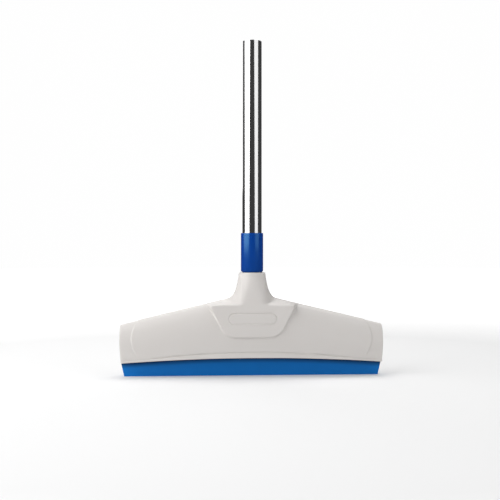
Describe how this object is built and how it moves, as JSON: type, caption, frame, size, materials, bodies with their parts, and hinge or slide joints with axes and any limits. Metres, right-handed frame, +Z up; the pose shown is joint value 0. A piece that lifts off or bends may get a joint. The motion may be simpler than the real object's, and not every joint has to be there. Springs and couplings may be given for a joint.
{
  "type": "window squeegee",
  "caption": "Wide window squeegee: two-part moulded head with a flared neck, a rubber blade in a channel, and a tube pole that screws in through a plastic ferrule.",
  "frame": {"origin": "middle of the blade's working edge", "axes": "+X along the blade to its right-hand end as seen from the front, +Y to the back, +Z up the pole"},
  "size_m": [0.3, 0.0344, 0.381],
  "materials": {
    "shell": "satin moulded polypropylene, warm white",
    "screw_steel": "zinc plated",
    "bush": "moulded nylon, grey",
    "channel": "extruded, satin",
    "washer": "punched sheet, white",
    "blade": "soft, smooth, blue",
    "ferrule": "glossy moulded, blue",
    "rivet": "plain",
    "tube": "mirror bright plated steel",
    "end_bush": "moulded, dark blue"
  },
  "bodies": {
    "head": {"front_shell": "shell", "rear_shell": "shell", "shell_screws": "screw_steel", "threaded_bush": "bush", "blade_channel": "channel"},
    "washer": {"neck_washer": "washer"},
    "pole": {"ferrule": "ferrule", "ferrule_rivet": "rivet", "pole_tube": "tube", "end_bush": "end_bush"},
    "blade": {"blade_bead": "blade"},
    "lip": {"blade_lip": "blade"}
  },
  "joints": [
    {"name": "pole_lift", "type": "slide", "parent": "head", "child": "washer", "axis": [0, 0, 1], "range_m": [0, 0.01501]},
    {"name": "pole_twist", "type": "hinge", "parent": "washer", "child": "pole", "pos_m": [0, 0, 0.1173], "axis": [0, 0, 1], "range_deg": [0, 1080]},
    {"name": "blade_slide", "type": "slide", "parent": "head", "child": "blade", "axis": [1, 0, 0], "range_m": [-0.297, 0.297]},
    {"name": "blade_flex", "type": "hinge", "parent": "blade", "child": "lip", "pos_m": [0, 0, 0.0232], "axis": [1, 0, 0], "range_deg": [-25, 25], "stiffness_Nm_per_rad": 0.35}
  ],
  "couplings": [
    {"joint": "pole_lift", "follows": "pole_twist", "m_per_rad": 0.00079577}
  ]
}
